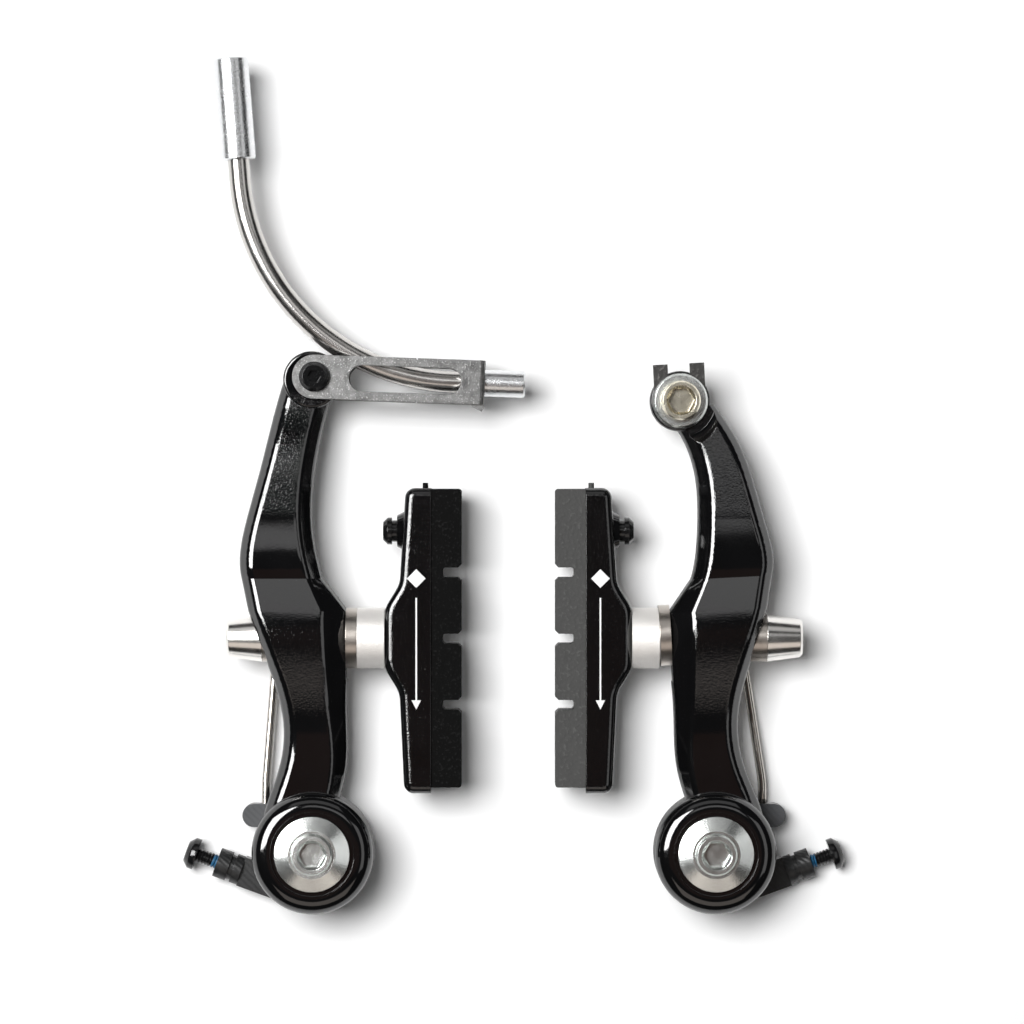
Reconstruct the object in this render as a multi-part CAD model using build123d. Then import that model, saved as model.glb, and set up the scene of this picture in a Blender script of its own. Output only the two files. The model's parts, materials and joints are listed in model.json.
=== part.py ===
# Linear-pull bicycle rim brake: two forged arms on their pivots, pads, springs and cable noodle
from build123d import *
from math import cos, radians, sin, sqrt
import os

# Frame: X across the wheel, Y along the pivots towards the fork, Z up. Millimetres.
# Origin: midway between the two pivots, on the plane where the bushes seat on the fork.
# Each side is drawn with its pivot at the origin and +X towards the wheel, then set in place.

# Driving sizes of the whole brake
PIVOT_SPACING = 85.8
RIGHT_LEAN = 3.0
RUN_CLEARANCE = 0.03
SLIP_CLEARANCE = 0.05
FREE_CLEARANCE = 0.25
CUT_MARGIN = 1.0

# Pivot: bush, mounting bolt and its cone washer
BUSH_LENGTH = 20.0
BUSH_RADIUS = 5.5
BOSS_RADIUS = 4.05
BOSS_DEPTH = 13.0
GREASE_GROOVE_WIDTH = 1.0
GREASE_GROOVE_DEPTH = 0.45
HUB_RADIUS = 13.0
HUB_BACK = 6.0
HUB_RIM_ROUND = 3.4
HUB_BACK_ROUND = 0.8
WASHER_RADIUS = 8.0
WASHER_EDGE = 1.1
WASHER_CROWN = 2.3
WASHER_SEAT_DEPTH = 0.9
WASHER_SEAT_MARGIN = 0.95
BOLT_RADIUS = 2.95
BOLT_LENGTH = 8.0
BOLT_HEAD_RADIUS = 4.4
BOLT_HEAD_HEIGHT = 2.6
BOLT_HEAD_SINK = 1.3
BOLT_KEY = 5.0
BOLT_KEY_DEPTH = 2.2
KEY_LEAD_IN = 0.7

# Arm: one row for each section, as height, outer edge, inner edge, front depth, back depth, inner bevel
ARM_LOWER = (
    (5.0, -10.9, 6.2, 16.6, 6.0, 2.4),
    (12.0, -9.3, 5.7, 16.6, 6.0, 2.4),
    (18.0, -7.3, 7.0, 16.5, 6.0, 2.8),
    (26.0, -6.3, 7.2, 16.7, 6.0, 3.4),
    (36.0, -8.2, 7.2, 18.1, 5.8, 4.6),
    (46.0, -11.8, 7.2, 19.6, 5.4, 5.2),
    (51.5, -13.7, 7.2, 19.4, 5.3, 5.2),
)
ARM_SHOULDER = (58.5, -15.2, 1.9, 18.6, 5.6, 2.8)
# The upper rows start with their share of the way from the shoulder to the neck
ARM_UPPER = (
    (0.188, -15.4, 0.4, 18.5, 6.6, 2.8),
    (0.449, -13.4, -0.3, 17.7, 8.0, 2.8),
    (0.768, -10.5, 0.9, 16.7, 9.3, 2.8),
)
# The neck's rows start with their height above the head's axis
ARM_NECK_TO_EYE = ((-8.5, -8.6, 2.6, 14.9, 9.3, 2.8), (-0.6, -6.3, 5.7, 14.7, 9.3, 2.8))
ARM_NECK_TO_CLAMP = ((-3.6, -6.45, 4.7, 16.0, 9.3, 2.8), (-1.1, -4.9, 6.2, 16.0, 9.3, 2.8))
ARM_OUTER_BEVEL = 2.0
ARM_OUTER_BEVEL_DROP = 2.4
ARM_INNER_BEVEL_DROP = 3.0
ARM_FRONT_ROUND = 2.0
ARM_BACK_ROUND = 0.7

# Arm heads: the noodle link's eye on the left, the cable clamp's boss on the right
EYE_HEIGHT = 101.5
EYE_OFFSET = 0.3
EYE_RADIUS = 6.1
EYE_SET_BACK = 0.6
CLAMP_HEIGHT = 96.6
CLAMP_OFFSET = 2.4
CLAMP_RADIUS = 6.4
CLAMP_POCKET_MARGIN = 1.2
CLAMP_POCKET_RISE = 2.5
CLAMP_POCKET_FLARE = 4.2
HEAD_FRONT = 15.0
HEAD_BACK = 9.0
HEAD_ROUND = 0.6

# Pad post: slot through the arm, dished washers, nut and stud
POST_HEIGHT = 45.7
POST_DEPTH = 12.0
STUD_RADIUS = 3.0
SLOT_HALF_TRAVEL = 2.4
SEAT_RADIUS = 5.4
SEAT_FLOOR = -7.0
INNER_FACE = 7.0
WASHER_BORE = 3.7
INNER_WASHER_RADIUS = 6.5
INNER_CUP_EDGE = 2.4
INNER_SPACER_LENGTH = 5.9
INNER_DISH_RADIUS = 12.0
OUTER_WASHER_RADIUS = 5.0
OUTER_CUP_EDGE = 1.9
OUTER_SPACER_LENGTH = {"left": 2.0, "right": 4.6}
OUTER_DISH_RADIUS = 9.0
NUT_LENGTH = 7.6
NUT_BASE_RADIUS = 5.1
NUT_TIP_RADIUS = 4.1
NUT_EDGE = 0.5
NUT_KEY = 5.0
NUT_KEY_DEPTH = 2.6
NUT_THREAD_DEPTH = 4.4

# Pad holder and rubber pad
PAD_TOP = 77.6
PAD_BOTTOM = 14.0
PAD_THICKNESS = 6.5
PAD_WIDTH = 10.6
PAD_ROUND = 0.6
PAD_NIB_RADIUS = 0.6
PAD_NIB_HEIGHT = 1.3
TONGUE_WIDTH = 6.4
TONGUE_DEPTH = 2.4
NOTCH_PITCH = 14.1
NOTCH_WIDTH = 2.1
NOTCH_DEPTH = 4.0
NOTCH_MOUTH = 0.7
NOTCH_FLOOR_ROUND = 0.6
HOLDER_TOP = 77.8
HOLDER_BOTTOM = 12.7
HOLDER_WIDTH = 11.4
HOLDER_TOP_BACK = 5.4
HOLDER_UPPER_BACK = 6.7
HOLDER_BULGE = 9.9
HOLDER_BULGE_HALF = 6.4
HOLDER_BULGE_SLOPE = 5.2
HOLDER_BULGE_ROUND = 6.0
HOLDER_BOTTOM_BACK = 5.7
HOLDER_ROUND = 2.2
HOLDER_EDGE = 1.7
HOLDER_END_WALL = 2.6
PAD_SCREW_HEIGHT = 68.6
PAD_SCREW_RADIUS = 1.4
PAD_SCREW_HEAD_RADIUS = 2.9
PAD_SCREW_HEAD = 1.9
PAD_SCREW_COLLAR_RADIUS = 2.3
PAD_SCREW_COLLAR = 1.1
PAD_SCREW_KEY = 2.0
PAD_SCREW_BOSS_RADIUS = 3.4
PAD_SCREW_BOSS = 1.3

# Return spring, its carrier and the tension screw
CARRIER_FRONT = 5.6
CARRIER_BACK = 0.4
CARRIER_RADIUS = 11.8
CARRIER_LUG_RADIUS = 2.5
CARRIER_LUG_REACH = -13.1
CARRIER_LUG_HEIGHT = 7.3
SCREW_BOSS_RADIUS = 3.2
SCREW_BOSS_LENGTH = 5.6
SCREW_BOSS_GROOVE = 0.5
SCREW_BOSS_GROOVE_START = 15.1
SCREW_BOSS_GROOVE_END = 16.1
SCREW_SLOPE = 20.0
SCREW_OFFSET = 9.9
SCREW_DEPTH = 3.4
SCREW_BOSS_START = 13.3
SCREW_RADIUS = 1.55
SCREW_LENGTH = 10.6
SCREW_STANDOFF = 4.6
SCREW_HEAD_RADIUS = 3.4
SCREW_HEAD_HEIGHT = 2.4
SCREW_KEY_WIDTH = 1.0
SCREW_KEY_LENGTH = 3.6
SCREW_KEY_DEPTH = 1.1
SPRING_RADIUS = 0.9
SPRING_BEND = 12.0
SPRING_DEPTH = 3.2
SPRING_FOOT = (-10.75, 5.6)
SPRING_KNEE = (-10.6, 14.5)
SPRING_TIP = (-8.0, 47.5)
PEG_RADIUS = 1.2
PEG_HEIGHT = 45.6

# Noodle link: a folded steel channel on the left arm's eye
LINK_TILT = 2.0
LINK_SHEET = 1.2
LINK_GAP = 6.4
LINK_HALF_HEIGHT = 4.7
LINK_LENGTH = 36.4
LINK_BEND = 1.0
LINK_WINDOW_START = 7.4
LINK_WINDOW_END = 31.4
LINK_WINDOW_HALF = 2.8
LINK_NOTCH = 0.35
LINK_NOTCH_AT = 21.8
LINK_LIP_REACH = 2.7
LINK_LIP_DROP = 1.4
PIN_RADIUS = 2.4
PIN_HEAD_RADIUS = 3.2
PIN_HEAD = 1.5
PIN_KEY = 2.5
PIN_KEY_DEPTH = 1.0

# Noodle: bent tube with a housing ferrule and a nose
TUBE_RADIUS = 2.3
TUBE_BORE = 1.1
TUBE_LEAD = 4.0
TUBE_BEND = 47.0
TUBE_SWEEP = 83.5
TUBE_STRAIGHT = 4.25
NOSE_RADIUS = 2.85
NOSE_REACH = 8.6
NOSE_COLLAR_RADIUS = 3.1
NOSE_COLLAR = 2.0
NOSE_EDGE = 0.35
FERRULE_RADIUS = 3.75
FERRULE_LENGTH = 21.8
FERRULE_SOCKET = 15.0
FERRULE_EDGE = 0.3
HOUSING_RADIUS = 2.6

# Cable clamp on the right arm
PLATE_THICKNESS = 1.6
PLATE_RADIUS = 6.0
PRONG_WIDTH = 3.1
PRONG_TOP = 7.9
PRONG_CENTRES = 3.9
CLAMP_WASHER_RADIUS = 5.8
CLAMP_WASHER_THICKNESS = 1.2
CLAMP_BOLT_RADIUS = 2.5
CLAMP_HEAD_RADIUS = 4.2
CLAMP_HEAD_HEIGHT = 3.4
CLAMP_KEY = 5.0
CLAMP_KEY_DEPTH = 2.4

# Places worked out from the driving sizes
HUB_FRONT = BUSH_LENGTH + WASHER_SEAT_DEPTH - FREE_CLEARANCE
LEAN = {"left": 0.0, "right": RIGHT_LEAN}
LINK_OUTER = LINK_GAP / 2 + LINK_SHEET


# Helpers

def turned(profile):
    """A solid of revolution about X from (along, radius) points."""
    return revolve(make_face(Polyline(*profile, close=True)), Axis.X)


def along_y(profile):
    """A solid of revolution about Y, from (depth in front of the fork, radius) points."""
    return Rot(0, 0, -90) * turned(profile)


def rod(radius, start, end, bore=0.0):
    """Profile of a plain rod or tube for turned() and along_y()."""
    return [(start, bore), (start, radius), (end, radius), (end, bore)]


def prism_x(outline, start, end):
    """A YZ outline carried along X."""
    return Pos(start, 0, 0) * extrude(Plane.YZ * outline, end - start)


def prism_y(outline, back, front):
    """An XZ outline carried from one depth in front of the fork to another."""
    return Pos(0, -back, 0) * extrude(Plane.XZ * outline, front - back)


def hexagon(width):
    return RegularPolygon(width / 2, 6, major_radius=False)


def key_socket(width, depth):
    """A hexagon socket along X, from its mouth at 0 inwards, with its lead-in cone."""
    half = width / 2
    mouth = half + KEY_LEAD_IN
    cone = turned([(0, 0), (0, mouth), (KEY_LEAD_IN, half), (KEY_LEAD_IN, 0)])
    return cone + prism_x(hexagon(width), 0, depth)


def lean(part, side):
    return Rot(0, LEAN[side], 0) * part


def place(part, side):
    """Moves a part drawn about its own pivot to its side of the brake."""
    if side == "left":
        return Pos(-PIVOT_SPACING / 2, 0, 0) * part
    return Pos(PIVOT_SPACING / 2, 0, 0) * mirror(part, Plane.YZ)


# Pivot

def pivot_bush():
    bush = along_y(rod(BUSH_RADIUS, 0, BUSH_LENGTH, BOSS_RADIUS))
    groove = rod(BOSS_RADIUS + GREASE_GROOVE_DEPTH, BOSS_DEPTH, BOSS_DEPTH + GREASE_GROOVE_WIDTH)
    return bush - along_y(groove)


def bolt_washer():
    front = BUSH_LENGTH + WASHER_CROWN
    seat = BOLT_HEAD_RADIUS + SLIP_CLEARANCE
    bore = BOLT_RADIUS + FREE_CLEARANCE
    return along_y([
        (BUSH_LENGTH, bore),
        (BUSH_LENGTH, WASHER_RADIUS),
        (BUSH_LENGTH + WASHER_EDGE, WASHER_RADIUS),
        (front, seat + BOLT_HEAD_SINK / 2),
        (front, seat),
        (front - BOLT_HEAD_SINK, seat),
        (front - BOLT_HEAD_SINK, bore),
    ])


def mounting_bolt():
    under_head = BUSH_LENGTH + WASHER_CROWN - BOLT_HEAD_SINK
    face = under_head + BOLT_HEAD_HEIGHT
    bolt = along_y([
        (under_head - BOLT_LENGTH, 0),
        (under_head - BOLT_LENGTH, BOLT_RADIUS),
        (under_head, BOLT_RADIUS),
        (under_head, BOLT_HEAD_RADIUS),
        (face - KEY_LEAD_IN, BOLT_HEAD_RADIUS),
        (face, BOLT_HEAD_RADIUS - KEY_LEAD_IN / 2),
        (face, 0),
    ])
    return bolt - Pos(0, -face, 0) * Rot(0, 0, 90) * key_socket(BOLT_KEY, BOLT_KEY_DEPTH)


# Arm

def arm_section(row):
    """One level slice of the arm: flat back, upright flanks and two soft bevels to the front."""
    height, outer, inner, front, back, inner_bevel = row
    outline = make_face(Polyline(
        (outer, -back),
        (inner, -back),
        (inner, -front + ARM_INNER_BEVEL_DROP),
        (inner - inner_bevel, -front),
        (outer + ARM_OUTER_BEVEL, -front),
        (outer, -front + ARM_OUTER_BEVEL_DROP),
        close=True,
    ))
    outline = fillet(outline.vertices().sort_by(Axis.Y)[:-2], ARM_FRONT_ROUND)
    outline = fillet(outline.vertices().sort_by(Axis.Y)[-2:], ARM_BACK_ROUND)
    return Pos(0, 0, height) * outline


def upper_rows(neck, head_height):
    """The rows from the shoulder to the head, spread over the height that the head gives them."""
    shoulder = ARM_SHOULDER[0]
    neck_rows = [(head_height + above, *row) for above, *row in neck]
    stretch = neck_rows[0][0] - shoulder
    spread_rows = [(shoulder + share * stretch, *row) for share, *row in ARM_UPPER]
    return [ARM_SHOULDER, *spread_rows, *neck_rows]


def arm_beam(neck, head_height):
    """The forged beam, creased at the pad seat's top and at the shoulder."""
    lower = [arm_section(row) for row in ARM_LOWER]
    upper = [arm_section(row) for row in upper_rows(neck, head_height)]
    return loft(lower) + loft([lower[-1], upper[0]]) + loft(upper)


def pivot_hub():
    hub = along_y(rod(HUB_RADIUS, HUB_BACK, HUB_FRONT))
    rims = hub.edges().filter_by(GeomType.CIRCLE).sort_by(Axis.Y)
    hub = fillet(rims[0], HUB_RIM_ROUND)
    rims = hub.edges().filter_by(GeomType.CIRCLE).sort_by(Axis.Y)
    return fillet(rims[-1], HUB_BACK_ROUND)


def hub_cuts():
    """The bush's bore and the washer's shallow seat."""
    bore = along_y(rod(BUSH_RADIUS + RUN_CLEARANCE, 0, HUB_FRONT + CUT_MARGIN))
    seat_radius = WASHER_RADIUS + WASHER_SEAT_MARGIN
    seat = along_y(rod(seat_radius, HUB_FRONT - WASHER_SEAT_DEPTH, HUB_FRONT + CUT_MARGIN))
    return bore + seat


def post_cuts():
    """The pad stud's slot through the arm and the milled seats for its washers."""
    reach = HUB_RADIUS * 2
    middle = Pos(-POST_DEPTH, POST_HEIGHT)
    slot_height = 2 * (SLOT_HALF_TRAVEL + STUD_RADIUS + FREE_CLEARANCE)
    seat_height = 2 * (SLOT_HALF_TRAVEL + SEAT_RADIUS)
    slot = middle * SlotOverall(slot_height, 2 * (STUD_RADIUS + FREE_CLEARANCE), rotation=90)
    seat = middle * SlotOverall(seat_height, 2 * SEAT_RADIUS, rotation=90)
    facing = middle * Rectangle(4 * INNER_WASHER_RADIUS, 2 * (INNER_WASHER_RADIUS + SLOT_HALF_TRAVEL))
    cuts = prism_x(slot, -reach, reach) + prism_x(seat, -reach, SEAT_FLOOR)
    return cuts + prism_x(facing, INNER_FACE, reach)


def spring_peg():
    """The peg on the arm's back that the return spring pushes outwards."""
    share = (PEG_HEIGHT - SPRING_KNEE[1]) / (SPRING_TIP[1] - SPRING_KNEE[1])
    wire = SPRING_KNEE[0] + share * (SPRING_TIP[0] - SPRING_KNEE[0])
    across = wire - SPRING_RADIUS - PEG_RADIUS - 2 * SLIP_CLEARANCE
    peg = along_y(rod(PEG_RADIUS, SPRING_DEPTH - SPRING_RADIUS, POST_DEPTH - SEAT_RADIUS))
    return Pos(across, 0, PEG_HEIGHT) * peg


def arm_head(radius):
    """A round head about Y, with soft rims."""
    head = along_y(rod(radius, HEAD_BACK, HEAD_FRONT))
    return fillet(head.edges().filter_by(GeomType.CIRCLE), HEAD_ROUND)


def clamp_pocket():
    """The milled pocket round the clamp's boss, with a wall that slopes up to the arm's face."""
    floor = CLAMP_RADIUS + CLAMP_POCKET_MARGIN
    mouth = HEAD_FRONT + CLAMP_POCKET_RISE
    return along_y([(HEAD_FRONT, 0), (HEAD_FRONT, floor), (mouth, floor + CLAMP_POCKET_FLARE), (mouth, 0)])


def left_arm():
    """The arm with the link's eye, whose round is set back from the pin to clear the noodle."""
    eye = Pos(EYE_OFFSET - EYE_SET_BACK, 0, EYE_HEIGHT - EYE_SET_BACK) * arm_head(EYE_RADIUS)
    bore = along_y(rod(PIN_RADIUS + SLIP_CLEARANCE, 0, HUB_FRONT))
    arm = arm_beam(ARM_NECK_TO_EYE, EYE_HEIGHT) + pivot_hub() + eye + spring_peg()
    return arm - hub_cuts() - post_cuts() - Pos(EYE_OFFSET, 0, EYE_HEIGHT) * bore


def right_arm():
    """The arm with the cable clamp's boss."""
    boss = Pos(CLAMP_OFFSET, 0, CLAMP_HEIGHT) * arm_head(CLAMP_RADIUS)
    bore = along_y(rod(CLAMP_BOLT_RADIUS + SLIP_CLEARANCE, 0, HUB_FRONT))
    arm = arm_beam(ARM_NECK_TO_CLAMP, CLAMP_HEIGHT) + pivot_hub() + boss + spring_peg()
    arm = arm - hub_cuts() - post_cuts() - Pos(CLAMP_OFFSET, 0, CLAMP_HEIGHT) * (bore + clamp_pocket())
    return lean(arm, "right")


# Pad post stack. A dished pair turns about the centre of its shared sphere, which lies on the stud,
# so the cup follows the leaning arm while the spacer stays square to the pad.

def dish_depth(dish, radius):
    return sqrt(dish ** 2 - radius ** 2)


def post_point(offset, side):
    """Where a point beside the leaning arm's face crosses the stud's level line."""
    angle = radians(LEAN[side])
    height = (POST_HEIGHT + offset * sin(angle)) / cos(angle)
    return offset, height


def stud_offset(offset, side):
    """Distance from the pivot, along the wheel's X, of that same point once the arm leans."""
    angle = radians(LEAN[side])
    across, height = post_point(offset, side)
    return across * cos(angle) + height * sin(angle)


INNER_CENTRE = INNER_FACE + INNER_CUP_EDGE + dish_depth(INNER_DISH_RADIUS, INNER_WASHER_RADIUS)
OUTER_CENTRE = SEAT_FLOOR - OUTER_CUP_EDGE - dish_depth(OUTER_DISH_RADIUS, OUTER_WASHER_RADIUS)


def dished(flat, dish, radius, way):
    """A washer about X from a flat face to a sphere about X = 0, whose wall lies on side way."""
    ball = [(way * dish_depth(dish, r), r) for r in (radius, (radius + WASHER_BORE) / 2, WASHER_BORE)]
    sides = Polyline(ball[2], (flat, WASHER_BORE), (flat, radius), ball[0])
    return revolve(make_face(sides + ThreePointArc(*ball)), Axis.X)


def inner_cup_washer(side):
    cup = dished(INNER_FACE - INNER_CENTRE, INNER_DISH_RADIUS, INNER_WASHER_RADIUS, -1)
    across, height = post_point(INNER_CENTRE, side)
    return lean(Pos(across, -POST_DEPTH, height) * cup, side)


def inner_spacer(side):
    flat = holder_back(side) - stud_offset(INNER_CENTRE, side)
    spacer = dished(flat, INNER_DISH_RADIUS - RUN_CLEARANCE, INNER_WASHER_RADIUS, -1)
    return Pos(stud_offset(INNER_CENTRE, side), -POST_DEPTH, POST_HEIGHT) * spacer


def outer_cup_washer(side):
    cup = dished(SEAT_FLOOR - OUTER_CENTRE, OUTER_DISH_RADIUS, OUTER_WASHER_RADIUS, 1)
    across, height = post_point(OUTER_CENTRE, side)
    return lean(Pos(across, -POST_DEPTH, height) * cup, side)


def outer_spacer(side):
    flat = nut_face(side) - stud_offset(OUTER_CENTRE, side)
    spacer = dished(flat, OUTER_DISH_RADIUS - RUN_CLEARANCE, OUTER_WASHER_RADIUS, 1)
    return Pos(stud_offset(OUTER_CENTRE, side), -POST_DEPTH, POST_HEIGHT) * spacer


def nut_face(side):
    """Where the nut bears on the outer spacer."""
    return stud_offset(OUTER_CENTRE, side) + dish_depth(OUTER_DISH_RADIUS, OUTER_WASHER_RADIUS) \
        - OUTER_SPACER_LENGTH[side]


def pad_nut(side):
    """Tapered cap nut, drawn from its base at 0 outwards."""
    nut = turned([
        (0, 0),
        (0, NUT_BASE_RADIUS),
        (-NUT_LENGTH + NUT_EDGE, NUT_TIP_RADIUS),
        (-NUT_LENGTH, NUT_TIP_RADIUS - NUT_EDGE),
        (-NUT_LENGTH, 0),
    ])
    thread = turned(rod(STUD_RADIUS + SLIP_CLEARANCE, -NUT_THREAD_DEPTH, 0))
    key = Pos(-NUT_LENGTH, 0, 0) * prism_x(hexagon(NUT_KEY), 0, NUT_KEY_DEPTH)
    return Pos(nut_face(side), -POST_DEPTH, POST_HEIGHT) * (nut - thread - key)


def holder_back(side):
    """Where the pad holder's bulge bears on the inner spacer."""
    return stud_offset(INNER_CENTRE, side) + INNER_FACE + INNER_CUP_EDGE + INNER_SPACER_LENGTH \
        - INNER_CENTRE


def pad_plane(side):
    """The plane where the rubber meets the holder."""
    return holder_back(side) + HOLDER_BULGE


def pad_stud(side):
    start = nut_face(side) - NUT_THREAD_DEPTH + FREE_CLEARANCE
    end = pad_plane(side) - TONGUE_DEPTH - FREE_CLEARANCE
    return Pos(0, -POST_DEPTH, POST_HEIGHT) * turned(rod(STUD_RADIUS, start, end))


# Pad holder and pad, drawn with the pad plane at X = 0 and the holder's back at -X

def holder_outline():
    bulge_top = POST_HEIGHT + HOLDER_BULGE_HALF
    bulge_bottom = POST_HEIGHT - HOLDER_BULGE_HALF
    outline = make_face(Polyline(
        (0, HOLDER_BOTTOM),
        (0, HOLDER_TOP),
        (-HOLDER_TOP_BACK, HOLDER_TOP),
        (-HOLDER_UPPER_BACK, bulge_top + HOLDER_BULGE_SLOPE),
        (-HOLDER_BULGE, bulge_top),
        (-HOLDER_BULGE, bulge_bottom),
        (-HOLDER_UPPER_BACK, bulge_bottom - HOLDER_BULGE_SLOPE),
        (-HOLDER_BOTTOM_BACK, HOLDER_BOTTOM),
        close=True,
    ))
    back_corners = outline.vertices().filter_by(lambda corner: corner.X < -SLIP_CLEARANCE).sort_by(Axis.Y)
    outline = fillet(back_corners[1:-1], HOLDER_BULGE_ROUND)
    end_corners = outline.vertices().filter_by(lambda corner: corner.X < -SLIP_CLEARANCE).sort_by(Axis.Y)
    return fillet([end_corners[0], end_corners[-1]], HOLDER_ROUND)


def screw_seat():
    """How far behind the pad plane the pad screw's boss ends."""
    run = HOLDER_TOP - POST_HEIGHT - HOLDER_BULGE_HALF - HOLDER_BULGE_SLOPE
    slope = (HOLDER_UPPER_BACK - HOLDER_TOP_BACK) / run
    return HOLDER_TOP_BACK + slope * (HOLDER_TOP - PAD_SCREW_HEIGHT) + PAD_SCREW_BOSS


def screw_boss():
    """The low cone on the holder's back that carries the pad screw, with its root inside the holder."""
    seat = screw_seat()
    root = seat - 2 * PAD_SCREW_BOSS
    root_radius = PAD_SCREW_BOSS_RADIUS + PAD_SCREW_BOSS
    cone = turned([(-root, 0), (-root, root_radius), (-seat, PAD_SCREW_BOSS_RADIUS), (-seat, 0)])
    return Pos(0, -POST_DEPTH, PAD_SCREW_HEIGHT) * cone


def pad_holder(side):
    half = HOLDER_WIDTH / 2
    holder = prism_y(holder_outline(), POST_DEPTH - half, POST_DEPTH + half)
    faces = holder.faces().filter_by(Axis.Y)
    edges = [edge for face in faces for edge in face.edges() if edge.center().X < -SLIP_CLEARANCE]
    holder = fillet(edges, HOLDER_EDGE)
    channel_depth = TONGUE_DEPTH + SLIP_CLEARANCE
    channel_half = TONGUE_WIDTH / 2 + SLIP_CLEARANCE
    floor = HOLDER_BOTTOM + HOLDER_END_WALL
    open_end = HOLDER_TOP + CUT_MARGIN
    channel = Pos(-channel_depth / 2, -POST_DEPTH, (floor + open_end) / 2) * Box(
        channel_depth, 2 * channel_half, open_end - floor)
    stud_hole = Pos(0, -POST_DEPTH, POST_HEIGHT) * turned(
        rod(STUD_RADIUS + RUN_CLEARANCE, -HOLDER_BULGE - CUT_MARGIN, 0))
    screw_hole = Pos(0, -POST_DEPTH, PAD_SCREW_HEIGHT) * turned(
        rod(PAD_SCREW_RADIUS + SLIP_CLEARANCE, -HOLDER_BULGE, 0))
    return Pos(pad_plane(side), 0, 0) * (holder + screw_boss() - channel - stud_hole - screw_hole)


def brake_pad(side):
    middle = (PAD_TOP + PAD_BOTTOM) / 2
    block = Pos(PAD_THICKNESS / 2, -POST_DEPTH, middle) * Box(
        PAD_THICKNESS, PAD_WIDTH, PAD_TOP - PAD_BOTTOM)
    upright = block.edges().filter_by(Axis.Y)
    block = fillet(upright.sort_by(Axis.X)[2:], PAD_ROUND)
    notches = [notch(POST_HEIGHT + step * NOTCH_PITCH) for step in (-1, 0, 1)]
    tongue_foot = HOLDER_BOTTOM + HOLDER_END_WALL + SLIP_CLEARANCE
    tongue = Pos(-TONGUE_DEPTH / 2, -POST_DEPTH, (tongue_foot + PAD_TOP) / 2) * Box(
        TONGUE_DEPTH, TONGUE_WIDTH, PAD_TOP - tongue_foot)
    nib_depth = POST_DEPTH + PAD_SCREW_RADIUS + PAD_NIB_RADIUS + FREE_CLEARANCE
    nib = Pos(-TONGUE_DEPTH / 2, -nib_depth, PAD_TOP) * Cylinder(PAD_NIB_RADIUS, 2 * PAD_NIB_HEIGHT)
    screw_hole = Pos(0, -POST_DEPTH, PAD_SCREW_HEIGHT) * turned(
        rod(PAD_SCREW_RADIUS + SLIP_CLEARANCE, -TONGUE_DEPTH, 0))
    return Pos(pad_plane(side), 0, 0) * (block + tongue + nib - screw_hole - notches)


def notch(height):
    """A water groove across the pad: a parallel slot with a round floor and a flared mouth."""
    half = NOTCH_WIDTH / 2
    flare = half + NOTCH_MOUTH
    face = PAD_THICKNESS
    floor = face - NOTCH_DEPTH
    outline = make_face(Polyline(
        (face, -flare),
        (face, flare),
        (face - NOTCH_MOUTH, half),
        (floor, half),
        (floor, -half),
        (face - NOTCH_MOUTH, -half),
        close=True,
    ))
    outline = fillet(outline.vertices().sort_by(Axis.X)[:2], NOTCH_FLOOR_ROUND)
    return Pos(0, 0, height) * prism_y(outline, POST_DEPTH - PAD_WIDTH, POST_DEPTH + PAD_WIDTH)


def pad_screw(side):
    """Set screw that keeps the pad in its holder, with a collar and a round head."""
    seat = screw_seat()
    collar = -seat - PAD_SCREW_COLLAR
    head = collar - PAD_SCREW_HEAD
    screw = turned([
        (-FREE_CLEARANCE, 0),
        (-FREE_CLEARANCE, PAD_SCREW_RADIUS),
        (-seat, PAD_SCREW_RADIUS),
        (-seat, PAD_SCREW_COLLAR_RADIUS),
        (collar, PAD_SCREW_COLLAR_RADIUS),
        (collar, PAD_SCREW_HEAD_RADIUS),
        (head + PAD_SCREW_HEAD / 2, PAD_SCREW_HEAD_RADIUS),
        (head, PAD_SCREW_HEAD_RADIUS - PAD_SCREW_HEAD / 2),
        (head, 0),
    ])
    key = Pos(head, 0, 0) * prism_x(hexagon(PAD_SCREW_KEY), 0, PAD_SCREW_HEAD)
    return Pos(pad_plane(side), -POST_DEPTH, PAD_SCREW_HEIGHT) * (screw - key)


# Spring carrier, tension screw and return spring

def screw_axis():
    """The tension screw's line: its own X runs inwards along the screw, tangent to the pivot."""
    return Rot(0, SCREW_SLOPE, 0) * Pos(0, -SCREW_DEPTH, -SCREW_OFFSET)


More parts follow.
